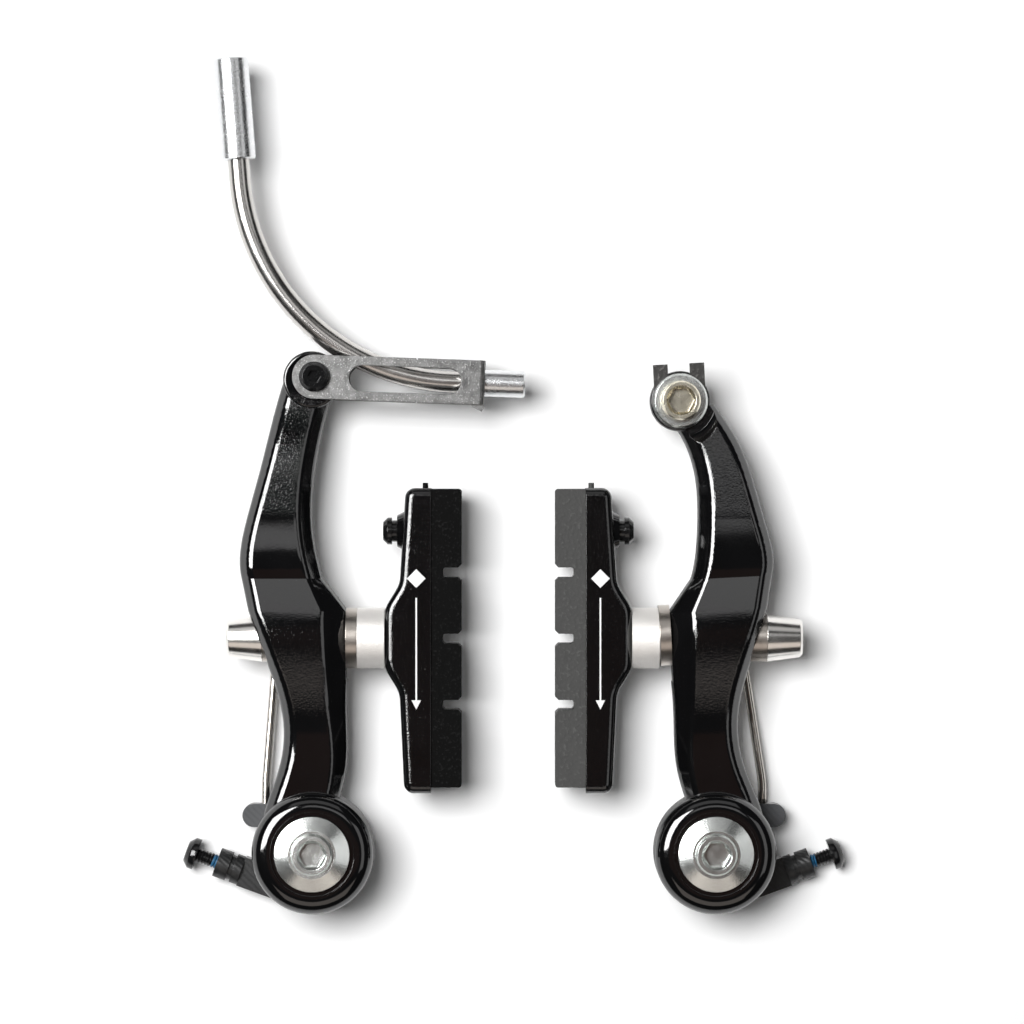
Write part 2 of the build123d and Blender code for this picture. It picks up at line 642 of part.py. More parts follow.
def spring_carrier(side):
    ring = along_y(rod(CARRIER_RADIUS, CARRIER_BACK, CARRIER_FRONT))
    lug_root = Pos(CARRIER_LUG_REACH / 2, CARRIER_LUG_HEIGHT) * Rectangle(
        -CARRIER_LUG_REACH, 2 * CARRIER_LUG_RADIUS)
    lug = lug_root + Pos(CARRIER_LUG_REACH, CARRIER_LUG_HEIGHT) * Circle(CARRIER_LUG_RADIUS)
    web = Pos(-SCREW_BOSS_START / 2, SCREW_DEPTH - (CARRIER_FRONT + CARRIER_BACK) / 2, 0) * Box(
        SCREW_BOSS_START, CARRIER_FRONT - CARRIER_BACK, 2 * SCREW_BOSS_RADIUS)
    end = -SCREW_BOSS_START - SCREW_BOSS_LENGTH
    waist = SCREW_BOSS_RADIUS - SCREW_BOSS_GROOVE
    boss = turned([
        (-SCREW_BOSS_START, 0),
        (-SCREW_BOSS_START, SCREW_BOSS_RADIUS),
        (-SCREW_BOSS_GROOVE_START, SCREW_BOSS_RADIUS),
        (-SCREW_BOSS_GROOVE_START, waist),
        (-SCREW_BOSS_GROOVE_END, waist),
        (-SCREW_BOSS_GROOVE_END, SCREW_BOSS_RADIUS),
        (end, SCREW_BOSS_RADIUS),
        (end, 0),
    ])
    thread = turned(rod(SCREW_RADIUS + SLIP_CLEARANCE, end, 0))
    bore = along_y(rod(BUSH_RADIUS + SLIP_CLEARANCE, 0, HUB_FRONT))
    body = ring + prism_y(lug, CARRIER_BACK, CARRIER_FRONT) + screw_axis() * (web + boss)
    return body - screw_axis() * thread - bore - spring_wire(side, SPRING_RADIUS + SLIP_CLEARANCE)


def tension_screw():
    """Round-head screw with a cross slot, half out of its boss."""
    under_head = -SCREW_BOSS_START - SCREW_BOSS_LENGTH - SCREW_STANDOFF
    face = under_head - SCREW_HEAD_HEIGHT
    screw = turned([
        (under_head + SCREW_LENGTH, 0),
        (under_head + SCREW_LENGTH, SCREW_RADIUS),
        (under_head, SCREW_RADIUS),
        (under_head, SCREW_HEAD_RADIUS),
        (under_head - SCREW_HEAD_HEIGHT / 2, SCREW_HEAD_RADIUS),
        (face, SCREW_HEAD_RADIUS - SCREW_HEAD_HEIGHT / 2),
        (face, 0),
    ])
    bar = Rectangle(SCREW_KEY_WIDTH, SCREW_KEY_LENGTH)
    cross = prism_x(bar + Rot(0, 0, 90) * bar, face, face + SCREW_KEY_DEPTH)
    return screw_axis() * (screw - cross)


def spring_wire(side, radius=SPRING_RADIUS):
    """The spring's long leg, from its foot in the carrier to the peg behind the leaning arm."""
    foot, knee, tip = [Vector(x, -SPRING_DEPTH, z) for x, z in (SPRING_FOOT, SPRING_KNEE, SPRING_TIP)]
    path = FilletPolyline(foot, knee, tip.rotate(Axis.Y, LEAN[side]), radius=SPRING_BEND)
    section = Plane(origin=path @ 0, z_dir=path % 0) * Circle(radius)
    return sweep(section, path=path)


# Noodle and its link, drawn along X from the link's pin, then tilted and hung on the left eye

def on_eye(part):
    return Pos(EYE_OFFSET, -POST_DEPTH, EYE_HEIGHT) * Rot(0, LINK_TILT, 0) * part


def link_leaf_outline():
    """One side of the folded link: a round eye end, a long window and two stamped nicks."""
    leaf = Pos(LINK_LENGTH / 2, 0) * Rectangle(LINK_LENGTH, 2 * LINK_HALF_HEIGHT)
    leaf = leaf + Circle(LINK_HALF_HEIGHT)
    length = LINK_WINDOW_END - LINK_WINDOW_START
    window = Pos((LINK_WINDOW_START + LINK_WINDOW_END) / 2, 0) * SlotOverall(length, 2 * LINK_WINDOW_HALF)
    nick = Rectangle(LINK_NOTCH, 2 * LINK_NOTCH)
    nicks = Pos(LINK_NOTCH_AT, LINK_HALF_HEIGHT) * nick + Pos(LINK_NOTCH_AT, -LINK_HALF_HEIGHT) * nick
    return leaf - window - nicks - Circle(PIN_RADIUS + RUN_CLEARANCE)


def link_lip():
    """The small flange folded under the end plate."""
    foot = -LINK_HALF_HEIGHT
    back = LINK_LENGTH - LINK_LIP_REACH
    outline = make_face(Polyline(
        (LINK_LENGTH, foot + LINK_SHEET),
        (LINK_LENGTH, foot - LINK_LIP_DROP / 2),
        (LINK_LENGTH - LINK_SHEET / 2, foot - LINK_LIP_DROP),
        (back, foot - LINK_LIP_DROP / 4),
        (back, foot + LINK_SHEET / 4),
        close=True,
    ))
    return extrude(Plane.XZ * outline, LINK_OUTER - LINK_BEND, both=True)


def noodle_link():
    bar = extrude(Plane.XZ * link_leaf_outline(), LINK_OUTER, both=True)
    end = LINK_LENGTH - LINK_SHEET
    bar = bar - Pos((end - LINK_LENGTH) / 2, 0, 0) * Box(
        end + LINK_LENGTH, LINK_GAP, 4 * LINK_HALF_HEIGHT)
    folds = bar.edges().filter_by(Axis.Z).sort_by(Axis.X)[-2:]
    bar = fillet(folds, LINK_BEND)
    mouth = TUBE_RADIUS + FREE_CLEARANCE
    hole = turned(rod(NOSE_RADIUS + SLIP_CLEARANCE, end - CUT_MARGIN, LINK_LENGTH + CUT_MARGIN))
    keyhole = Pos(end, 0, LINK_HALF_HEIGHT) * Box(3 * LINK_SHEET, 2 * mouth, 2 * LINK_HALF_HEIGHT)
    return on_eye(bar + link_lip() - hole - keyhole)


def link_pin():
    outer = LINK_OUTER + FREE_CLEARANCE
    pin = Rot(0, 0, -90) * turned([
        (-outer - PIN_HEAD / 2, 0),
        (-outer - PIN_HEAD / 2, PIN_HEAD_RADIUS),
        (-outer, PIN_HEAD_RADIUS),
        (-outer, PIN_RADIUS),
        (outer, PIN_RADIUS),
        (outer, PIN_HEAD_RADIUS),
        (outer + PIN_HEAD / 2, PIN_HEAD_RADIUS),
        (outer + PIN_HEAD, PIN_HEAD_RADIUS - PIN_HEAD / 2),
        (outer + PIN_HEAD, 0),
    ])
    key = prism_y(hexagon(PIN_KEY), outer + PIN_HEAD - PIN_KEY_DEPTH, outer + PIN_HEAD)
    return on_eye(pin - key)


NOSE_START = LINK_LENGTH - LINK_SHEET - NOSE_COLLAR
NOSE_END = LINK_LENGTH + NOSE_REACH


def tube_path():
    """The noodle's centre line in XZ, from inside the nose, round the bend and up the ferrule."""
    start = (NOSE_END - NOSE_REACH / 2, 0)
    bend_start = (NOSE_START - TUBE_LEAD, 0)
    nose_run = Line(start, bend_start)
    bend = JernArc(bend_start, (-1, 0), TUBE_BEND, -TUBE_SWEEP)
    tail_length = TUBE_STRAIGHT + FERRULE_LENGTH - FERRULE_SOCKET
    tail = Line(bend @ 1, (bend @ 1) + (bend % 1) * tail_length)
    return Rot(90, 0, 0) * Wire([nose_run, bend, tail])


def noodle_tube():
    path = tube_path()
    ring = Circle(TUBE_RADIUS) - Circle(TUBE_BORE)
    return on_eye(sweep(Plane(origin=path @ 0, z_dir=path % 0) * ring, path=path))


def noodle_nose():
    """Sleeve on the tube's end: a collar behind the link's end plate and a nose through it."""
    step = NOSE_END - NOSE_REACH / 2 + SLIP_CLEARANCE
    bore = TUBE_RADIUS + SLIP_CLEARANCE / 2
    return on_eye(turned([
        (NOSE_START, bore),
        (NOSE_START, NOSE_COLLAR_RADIUS),
        (NOSE_START + NOSE_COLLAR, NOSE_COLLAR_RADIUS),
        (NOSE_START + NOSE_COLLAR, NOSE_RADIUS),
        (NOSE_END - NOSE_EDGE, NOSE_RADIUS),
        (NOSE_END, NOSE_RADIUS - NOSE_EDGE),
        (NOSE_END, TUBE_BORE),
        (step, TUBE_BORE),
        (step, bore),
    ]))


def noodle_ferrule():
    """Housing socket pressed on the tube's upper end, drawn along X from its lower rim."""
    tube_end = FERRULE_LENGTH - FERRULE_SOCKET + SLIP_CLEARANCE
    bore = TUBE_RADIUS + SLIP_CLEARANCE / 2
    ferrule = turned([
        (0, bore),
        (0, FERRULE_RADIUS - FERRULE_EDGE),
        (FERRULE_EDGE, FERRULE_RADIUS),
        (FERRULE_LENGTH - FERRULE_EDGE, FERRULE_RADIUS),
        (FERRULE_LENGTH, FERRULE_RADIUS - FERRULE_EDGE),
        (FERRULE_LENGTH, HOUSING_RADIUS),
        (tube_end, HOUSING_RADIUS),
        (tube_end, bore),
    ])
    path = tube_path()
    upward = path % 1
    rim = (path @ 1) - upward * (FERRULE_LENGTH - FERRULE_SOCKET)
    return on_eye(Plane(origin=rim, x_dir=upward, z_dir=(0, 1, 0)) * ferrule)


# Cable clamp, drawn about the clamp bolt's axis with depths in front of the fork

def on_clamp(part):
    return lean(Pos(CLAMP_OFFSET, 0, CLAMP_HEIGHT) * part, "right")


def cable_anchor_plate():
    """Steel plate that traps the cable on the arm, with two prongs to guide it."""
    prong = Rectangle(PRONG_WIDTH, PRONG_TOP, align=(Align.CENTER, Align.MIN))
    plate = Circle(PLATE_RADIUS) + Pos(PRONG_CENTRES, 0) * prong + Pos(-PRONG_CENTRES, 0) * prong
    plate = plate - Circle(CLAMP_BOLT_RADIUS + FREE_CLEARANCE)
    return on_clamp(prism_y(plate, HEAD_FRONT, HEAD_FRONT + PLATE_THICKNESS))


def cable_clamp_washer():
    start = HEAD_FRONT + PLATE_THICKNESS
    end = start + CLAMP_WASHER_THICKNESS
    edge = CLAMP_WASHER_THICKNESS / 3
    bore = CLAMP_BOLT_RADIUS + FREE_CLEARANCE
    return on_clamp(along_y([
        (start, bore),
        (start, CLAMP_WASHER_RADIUS),
        (end - edge, CLAMP_WASHER_RADIUS),
        (end, CLAMP_WASHER_RADIUS - edge),
        (end, bore),
    ]))


def cable_clamp_bolt():
    under_head = HEAD_FRONT + PLATE_THICKNESS + CLAMP_WASHER_THICKNESS
    face = under_head + CLAMP_HEAD_HEIGHT
    bolt = along_y([
        (HEAD_BACK, 0),
        (HEAD_BACK, CLAMP_BOLT_RADIUS),
        (under_head, CLAMP_BOLT_RADIUS),
        (under_head, CLAMP_HEAD_RADIUS),
        (face - KEY_LEAD_IN, CLAMP_HEAD_RADIUS),
        (face, CLAMP_HEAD_RADIUS - KEY_LEAD_IN / 2),
        (face, 0),
    ])
    return on_clamp(bolt - Pos(0, -face, 0) * Rot(0, 0, 90) * key_socket(CLAMP_KEY, CLAMP_KEY_DEPTH))


# Every piece by its node name
SAME_BOTH_SIDES = {
    "pivot_bush": pivot_bush,
    "bolt_washer": bolt_washer,
    "mounting_bolt": mounting_bolt,
    "tension_screw": tension_screw,
}
SET_BY_SIDE = {
    "spring_carrier": spring_carrier,
    "return_spring": spring_wire,
    "inner_cup_washer": inner_cup_washer,
    "inner_spacer": inner_spacer,
    "outer_cup_washer": outer_cup_washer,
    "outer_spacer": outer_spacer,
    "pad_nut": pad_nut,
    "pad_stud": pad_stud,
    "pad_holder": pad_holder,
    "brake_pad": brake_pad,
    "pad_screw": pad_screw,
}
ONE_SIDE = {
    "left_arm": (left_arm, "left"),
    "noodle_link": (noodle_link, "left"),
    "link_pin": (link_pin, "left"),
    "noodle_tube": (noodle_tube, "left"),
    "noodle_nose": (noodle_nose, "left"),
    "noodle_ferrule": (noodle_ferrule, "left"),
    "right_arm": (right_arm, "right"),
    "cable_anchor_plate": (cable_anchor_plate, "right"),
    "cable_clamp_washer": (cable_clamp_washer, "right"),
    "cable_clamp_bolt": (cable_clamp_bolt, "right"),
}


def pieces():
    nodes = {name: place(make(), side) for name, (make, side) in ONE_SIDE.items()}
    for side in ("left", "right"):
        for name, make in SAME_BOTH_SIDES.items():
            nodes[f"{side}_{name}"] = place(make(), side)
        for name, make in SET_BY_SIDE.items():
            nodes[f"{side}_{name}"] = place(make(side), side)
    return nodes


def main():
    os.makedirs("parts", exist_ok=True)
    for name, part in pieces().items():
        export_step(part, f"parts/{name}.step")


main()
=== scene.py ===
# V brake set: finishes, screw threads, return spring wires cut into short lengths, print marks and a white studio
# round the model
import json
import math

import bmesh
import bpy
from mathutils import Matrix, Vector


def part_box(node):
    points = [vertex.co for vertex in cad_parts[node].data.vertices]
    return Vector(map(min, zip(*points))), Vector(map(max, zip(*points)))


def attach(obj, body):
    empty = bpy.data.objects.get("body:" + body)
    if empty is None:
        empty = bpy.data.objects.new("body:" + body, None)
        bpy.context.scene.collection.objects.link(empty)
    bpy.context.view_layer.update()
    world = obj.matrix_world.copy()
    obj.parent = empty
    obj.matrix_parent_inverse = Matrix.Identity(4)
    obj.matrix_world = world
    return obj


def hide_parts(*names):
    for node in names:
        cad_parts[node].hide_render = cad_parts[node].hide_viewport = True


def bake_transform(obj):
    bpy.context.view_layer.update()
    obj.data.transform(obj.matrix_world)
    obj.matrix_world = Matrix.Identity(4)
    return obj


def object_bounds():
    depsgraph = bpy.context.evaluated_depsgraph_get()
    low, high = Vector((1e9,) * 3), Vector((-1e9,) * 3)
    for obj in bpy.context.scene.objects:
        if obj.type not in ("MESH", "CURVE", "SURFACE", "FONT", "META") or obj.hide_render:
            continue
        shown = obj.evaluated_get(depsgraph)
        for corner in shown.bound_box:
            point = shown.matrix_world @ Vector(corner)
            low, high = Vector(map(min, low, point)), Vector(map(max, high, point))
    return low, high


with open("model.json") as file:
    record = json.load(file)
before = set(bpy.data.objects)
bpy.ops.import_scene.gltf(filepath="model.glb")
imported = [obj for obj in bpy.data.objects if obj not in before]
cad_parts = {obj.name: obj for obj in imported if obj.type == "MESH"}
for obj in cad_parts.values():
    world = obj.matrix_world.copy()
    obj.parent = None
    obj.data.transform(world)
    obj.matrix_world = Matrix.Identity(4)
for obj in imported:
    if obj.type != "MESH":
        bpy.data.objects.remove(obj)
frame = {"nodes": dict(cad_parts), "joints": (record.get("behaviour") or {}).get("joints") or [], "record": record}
cad_low, cad_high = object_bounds()
MM = 0.001
SIDES = ("left", "right")
FLOAT = "NodeSocketFloat"
VECTOR = "NodeSocketVector"

# The photograph's frame: its width and centre on the plane of the pads
FRAME_WIDTH = 219.1 * MM
FRAME_CENTRE_X = -0.43 * MM
FRAME_CENTRE_Z = 72.66 * MM
PAD_PLANE_Y = -12.0 * MM
CAMERA_DISTANCE = 1.0
SENSOR_WIDTH = 36.0

# Gloss paint: its pebbles, the heights over which they fade in and out, and its gloss
PEBBLE_SIZE = 0.32 * MM
PEBBLE_DEPTH = 0.05 * MM
HOLDER_PEBBLE_DEPTH = 0.045 * MM
UPPER_PEBBLES_START = (71.0 * MM, 73.5 * MM)
UPPER_PEBBLES_END = (100.0 * MM, 97.0 * MM)
LOWER_PEBBLES_START = (25.0 * MM, 33.0 * MM)
LOWER_PEBBLES_END = (53.0 * MM, 46.0 * MM)
SMOOTH_SKIN = 0.06
PAINT_GLOSS = (0.05, 0.08)
PAINT_INDEX = 1.75
WALL_ROUGHNESS = 0.6

# A normal's share along Y: where a surface comes to face the viewer, and where it stops being a side wall
FACING_VIEWER = (0.94, 0.985)
SIDE_WALL = (0.12, 0.3)

# Soft edges and grain, which all finishes have
EDGE_SOFTNESS = 0.18 * MM
HOLDER_EDGE_SOFTNESS = 0.3 * MM
EDGE_SAMPLES = 4
FINE_NOISE = {"Detail": 2.0, "Roughness": 0.45}
BROAD_NOISE = {"Detail": 5.0, "Roughness": 0.6}
# Noise levels for the bright points: painted glints of sparkle on the link and the plated pin, light specks on the
# rubber
SPECK_AND_GLINT_EDGES = (0.58, 0.72)

# Turned rings about the pivots
PIVOT_X = 42.9 * MM
RING_PITCH = 0.22 * MM
RING_DEPTH = 0.002 * MM

# Moulded carriers: tool lines, and the height over which black turns to the lug's grey
TOOL_LINE_SCALE = 420.0
TOOL_LINE_WAVER = 0.6
TOOL_LINE_DEPTH = 0.04 * MM
LUG_HEIGHT = (0.0, 4.0 * MM)
LUG_GREY = (0.06, 0.062, 0.066, 1)

RUBBER_SHINE = 0.04

# Screws: the CAD head stays, the shank gets a cut thread
TENSION_HEAD = 2.4 * MM
TENSION_CREST = 1.55 * MM
TENSION_ROOT = 1.22 * MM
TENSION_PITCH = 0.7 * MM
THREADLOCK_REACH = (5.9 * MM, 7.6 * MM)
HEAD_MARGIN = 0.02 * MM
THREAD_STEPS = 28
RIDGE_CORNERS = 6
CORE_SIDES = 40

# Return springs: the stretch of each leg that bends, from the carrier to the arm's peg
SPRING_BEND_START = 15.0 * MM
SPRING_BEND_END = 44.0 * MM
SPRING_CUTS = 30

# Print marks on the pad holders: a diamond, a line and an arrow head
MARK_THICKNESS = 0.02 * MM
MARK_SINK = 0.005 * MM
DIAMOND_HEIGHT = 58.5 * MM
DIAMOND_HALF = 2.0 * MM
LINE_TOP = 54.4 * MM
LINE_BOTTOM = 32.6 * MM
LINE_WIDTH = 0.36 * MM
ARROW_TIP = 30.6 * MM
ARROW_HALF = 1.0 * MM
MARK_INSET = 3.1 * MM

# Copies of CAD meshes: doubles closer than this are merged, and flatter edges than this are smooth
MERGE_DISTANCE = 0.001 * MM
SMOOTH_ANGLE = math.radians(32)

# The board that the brake lies against, and the plain level of light
BOARD_SIZE = 0.6
BOARD_GAP = 0.6 * MM
BOARD_WHITE = (0.9, 0.9, 0.9, 1)
BOARD_GLOW = 0.03
WORLD_LIGHT = 0.06
WHITE = (1, 1, 1, 1)

# Lights and cards: azimuth and elevation from the camera's line in degrees, distance, width, height
KEY_LIGHT = (-33, 13, 1.9, 1.1, 1.1)
KEY_POWER = 63.0
SHADE_LIGHT = (-17, 9, 1.3, 0.62, 0.55)
SHADE_POWER = 21.5
TOP_LIGHT = (6, 16.2, 1.3, 0.65, 0.28)
TOP_POWER = 0.54
BACK_LIGHT = (180, 20, 1.6, 0.8, 0.8)
BACK_POWER = 8.0
RIGHT_CARD = (40, 0, 1.2, 0.45, 0.9)
RIGHT_GLOW = (0.9, 0.9, 0.9, 1)
HIGH_CARD = (0, 50, 1.2, 1.2, 0.5)
HIGH_GLOW = (0.5, 0.5, 0.5, 1)
LOW_CARD = (0, -40, 1.2, 1.2, 0.6)
LOW_GLOW = (0.8, 0.72, 0.66, 1)
WARM_CARD = (0, -8, 1.2, 0.6, 0.2)
WARM_GLOW = (0.08, 0.045, 0.035, 1)

# The dark tent on the viewer's side
TENT_HALF = 1.6
TENT_FRONT = -2.0
TENT_OPEN = -0.06
TENT_CLOTH = (0.012, 0.012, 0.012, 1)

TARGET = Vector((FRAME_CENTRE_X, PAD_PLANE_Y, FRAME_CENTRE_Z))
SQUARE = ((-1, -1), (1, -1), (1, 1), (-1, 1))

# The Mix node's colour sockets, which come after its float and vector ones
MIX_FIRST = 6
MIX_SECOND = 7
MIX_RESULT = 2


# Node helpers

def feed(tree, socket, value):
    """Sets a socket to a value, or links another socket to it."""
    if isinstance(value, bpy.types.NodeSocket):
        tree.links.new(value, socket)
    else:
        socket.default_value = value


def put(tree, kind, settings=None, **inputs):
    """Adds a node. Inputs are given by their socket names, with _ for a space."""
    node = tree.nodes.new(kind)
    for name, value in (settings or {}).items():
        setattr(node, name, value)
    for name, value in inputs.items():
        feed(tree, node.inputs[name.replace("_", " ")], value)
    return node


def math_node(tree, operation, first, second=0.0):
    node = tree.nodes.new("ShaderNodeMath")
    node.operation = operation
    feed(tree, node.inputs[0], first)
    feed(tree, node.inputs[1], second)
    return node.outputs[0]


def spread(tree, value, low, high):
    """Maps a 0 to 1 mask to the range from low to high."""
    node = put(tree, "ShaderNodeMapRange", Value=value, To_Min=low, To_Max=high)
    return node.outputs["Result"]


def ramp(tree, value, start, end):
    """A soft step from 0 at start to 1 at end."""
    node = put(tree, "ShaderNodeMapRange", {"interpolation_type": "SMOOTHSTEP"}, Value=value,
               From_Min=start, From_Max=end)
    return node.outputs["Result"]


def blend_colors(tree, mask, dark, light):
    node = put(tree, "ShaderNodeMix", {"data_type": "RGBA"}, Factor=mask)
    feed(tree, node.inputs[MIX_FIRST], dark)
    feed(tree, node.inputs[MIX_SECOND], light)
    return node.outputs[MIX_RESULT]


def new_group(name, inputs, outputs):
    """An empty shader group with named float and vector sockets."""
    group = bpy.data.node_groups.new(name, "ShaderNodeTree")
    for socket, kind in inputs.items():
        group.interface.new_socket(socket, in_out="INPUT", socket_type=kind)
    for socket in outputs:
        group.interface.new_socket(socket, in_out="OUTPUT", socket_type=FLOAT)
    return group, group.nodes.new("NodeGroupInput"), group.nodes.new("NodeGroupOutput")


# Shared surface effects

def make_grain():
    """Pebbled or blasted skin: Height for bump, Mask for broad changes of tone, and a mask of bright points, which
    the link and the plated pin take as painted glints of sparkle and the rubber as light specks.
    """
    group, given, result = new_group(
        "surface_grain", {"Vector": VECTOR, "Grain": FLOAT, "Patch": FLOAT}, ("Height", "Mask", "SpeckAndGlint"))
    fine = put(group, "ShaderNodeTexNoise", Vector=given.outputs["Vector"],
               Scale=math_node(group, "DIVIDE", 1.0, given.outputs["Grain"]), **FINE_NOISE)
    broad = put(group, "ShaderNodeTexNoise", Vector=given.outputs["Vector"],
                Scale=math_node(group, "DIVIDE", 1.0, given.outputs["Patch"]), **BROAD_NOISE)
    speck_and_glint_start, speck_and_glint_end = SPECK_AND_GLINT_EDGES
    specks_and_glints = put(group, "ShaderNodeMapRange", Value=fine.outputs["Fac"], From_Min=speck_and_glint_start,
                 From_Max=speck_and_glint_end)
    group.links.new(fine.outputs["Fac"], result.inputs["Height"])
    group.links.new(broad.outputs["Fac"], result.inputs["Mask"])
    group.links.new(specks_and_glints.outputs["Result"], result.inputs["SpeckAndGlint"])
    return group


def make_turning():
    """Fine lathe rings about an axis along Y through X = Centre and Z = 0, the same on both sides."""
    group, given, result = new_group(
        "lathe_rings", {"Vector": VECTOR, "Centre": FLOAT, "Pitch": FLOAT}, ("Height",))
    parts = put(group, "ShaderNodeSeparateXYZ", Vector=given.outputs["Vector"])
    across = math_node(group, "SUBTRACT", math_node(group, "ABSOLUTE", parts.outputs["X"]),
                       given.outputs["Centre"])
    flat = put(group, "ShaderNodeCombineXYZ", X=across, Y=parts.outputs["Z"])
    radius = put(group, "ShaderNodeVectorMath", {"operation": "LENGTH"}, Vector=flat.outputs["Vector"])
    turns = math_node(group, "DIVIDE", radius.outputs["Value"], given.outputs["Pitch"])
    wave = math_node(group, "SINE", math_node(group, "MULTIPLY", turns, 2 * math.pi))
    group.links.new(wave, result.inputs["Height"])
    return group


def make_facing():
    """Mask is 1 where a surface faces along Y, to the viewer or the fork, and Wall on side walls."""
    group, given, result = new_group("facing_viewer", {"Normal": VECTOR}, ("Mask", "Wall"))
    parts = put(group, "ShaderNodeSeparateXYZ", Vector=given.outputs["Normal"])
    along = math_node(group, "ABSOLUTE", parts.outputs["Y"])
    wall = math_node(group, "SUBTRACT", 1.0, ramp(group, along, *SIDE_WALL))
    group.links.new(ramp(group, along, *FACING_VIEWER), result.inputs["Mask"])
    group.links.new(wall, result.inputs["Wall"])
    return group


def make_pebble_zones():
    """1 at the heights where the arms' forging is pebbled: above the waist, and below the shoulder."""
    group, given, result = new_group("pebble_zones", {"Vector": VECTOR}, ("Mask",))
    height = put(group, "ShaderNodeSeparateXYZ", Vector=given.outputs["Vector"]).outputs["Z"]
    lower = math_node(group, "MULTIPLY", ramp(group, height, *LOWER_PEBBLES_START),
                      ramp(group, height, *LOWER_PEBBLES_END))
    upper = math_node(group, "MULTIPLY", ramp(group, height, *UPPER_PEBBLES_START),
                      ramp(group, height, *UPPER_PEBBLES_END))
    mask = math_node(group, "MAXIMUM", lower, upper)
    group.links.new(mask, result.inputs["Mask"])
    return group


GRAIN = make_grain()
TURNING = make_turning()
FACING = make_facing()
PEBBLE_ZONES = make_pebble_zones()


class Skin:
    """The common build of a finish: two tones in patches, uneven gloss, soft edges and a fine skin."""

    def __init__(self, name, dark, light, rough, grain, patch, depth, metallic=0.0, speck_and_glint=None,
                 edge=EDGE_SOFTNESS):
        self.material = bpy.data.materials.new(name)
        self.material.use_nodes = True
        self.tree = self.material.node_tree
        self.shader = self.tree.nodes["Principled BSDF"]
        coords = self.tree.nodes.new("ShaderNodeTexCoord").outputs
        self.place = coords["Object"]
        self.normal = coords["Normal"]
        self.grain = self.add(GRAIN, Vector=self.place, Grain=grain, Patch=patch)
        color = blend_colors(self.tree, self.grain["Mask"], (*dark, 1), (*light, 1))
        # Bright points mixed into the colour: painted glints on the link and the plated pin, light specks on the
        # rubber
        if speck_and_glint is not None:
            color = blend_colors(self.tree, self.grain["SpeckAndGlint"], color, (*speck_and_glint, 1))
        self.set("Base Color", color)
        self.set("Roughness", spread(self.tree, self.grain["Mask"], *rough))
        self.set("Metallic", metallic)
        soft = put(self.tree, "ShaderNodeBevel", {"samples": EDGE_SAMPLES}, Radius=edge)
        self.fine = put(self.tree, "ShaderNodeBump", Height=self.grain["Height"], Distance=depth,
                        Normal=soft.outputs["Normal"])
        self.set("Normal", self.fine.outputs["Normal"])

    def add(self, group, **inputs):
        return put(self.tree, "ShaderNodeGroup", {"node_tree": group}, **inputs).outputs

    def set(self, socket, value):
        feed(self.tree, self.shader.inputs[socket], value)

    def fed_by(self, socket):
        """What is linked to a socket of the shader so far."""
        return self.shader.inputs[socket].links[0].from_socket

    def relief(self, height, depth):
        """Adds a second, coarser relief under the fine skin."""
        under = self.fine.inputs["Normal"].links[0].from_socket
        node = put(self.tree, "ShaderNodeBump", Height=height, Distance=depth, Normal=under)
        self.tree.links.new(node.outputs["Normal"], self.fine.inputs["Normal"])

    def grain_where(self, mask):
        """Keeps the fine skin to the mask."""
        share = spread(self.tree, mask, SMOOTH_SKIN, 1.0)
        height = math_node(self.tree, "MULTIPLY", self.grain["Height"], share)
        feed(self.tree, self.fine.inputs["Height"], height)


# Finishes

def black_paint(name, patch, depth, edge=EDGE_SOFTNESS):
    """Gloss black over a pebbled skin."""
    paint = Skin(name, dark=(0.002, 0.002, 0.0022), light=(0.005, 0.005, 0.0055), rough=PAINT_GLOSS,
                 grain=PEBBLE_SIZE, patch=patch, depth=depth, edge=edge)
    paint.set("IOR", PAINT_INDEX)
    return paint


def gloss_black_alloy():
    """Paint that follows the forging's skin: pebbled faces, smooth waist, bevels and hub, and dull walls."""
    paint = black_paint("gloss_black_alloy", patch=9 * MM, depth=PEBBLE_DEPTH)
    facing = paint.add(FACING, Normal=paint.normal)
    zones = paint.add(PEBBLE_ZONES, Vector=paint.place)["Mask"]
    paint.grain_where(math_node(paint.tree, "MULTIPLY", facing["Mask"], zones))
    dull = math_node(paint.tree, "MULTIPLY", facing["Wall"], WALL_ROUGHNESS)
    paint.set("Roughness", math_node(paint.tree, "MAXIMUM", paint.fed_by("Roughness"), dull))
    return paint.material


def gloss_black_holder():
    paint = black_paint("gloss_black_holder", patch=8 * MM, depth=HOLDER_PEBBLE_DEPTH,
                        edge=HOLDER_EDGE_SOFTNESS)
    paint.grain_where(paint.add(FACING, Normal=paint.normal)["Mask"])
    return paint.material


def pad_rubber():
    rubber = Skin("pad_rubber", dark=(0.002, 0.002, 0.002), light=(0.004, 0.004, 0.004), rough=(0.5, 0.65),
                  grain=0.5 * MM, patch=5 * MM, depth=0.05 * MM, speck_and_glint=(0.012, 0.012, 0.012))
    rubber.set("Specular IOR Level", RUBBER_SHINE)
    return rubber.material


def bloomed_rubber():
    """The same rubber with a grey bloom and a leathery grain, as on the right pad."""
    return Skin("bloomed_rubber", dark=(0.02, 0.02, 0.0195), light=(0.05, 0.05, 0.048), rough=(0.6, 0.75),
                grain=0.7 * MM, patch=9 * MM, depth=0.09 * MM, speck_and_glint=(0.06, 0.06, 0.058)).material


def zinc_steel():
    """Bright plate over turned steel, with rings about the pivots."""
    plate = Skin("zinc_steel", dark=(0.8, 0.83, 0.81), light=(0.92, 0.94, 0.92), rough=(0.18, 0.3),
                 grain=0.4 * MM, patch=2.5 * MM, depth=0.014 * MM, metallic=1.0)
    rings = plate.add(TURNING, Vector=plate.place, Centre=PIVOT_X, Pitch=RING_PITCH)
    plate.relief(rings["Height"], RING_DEPTH)
    return plate.material


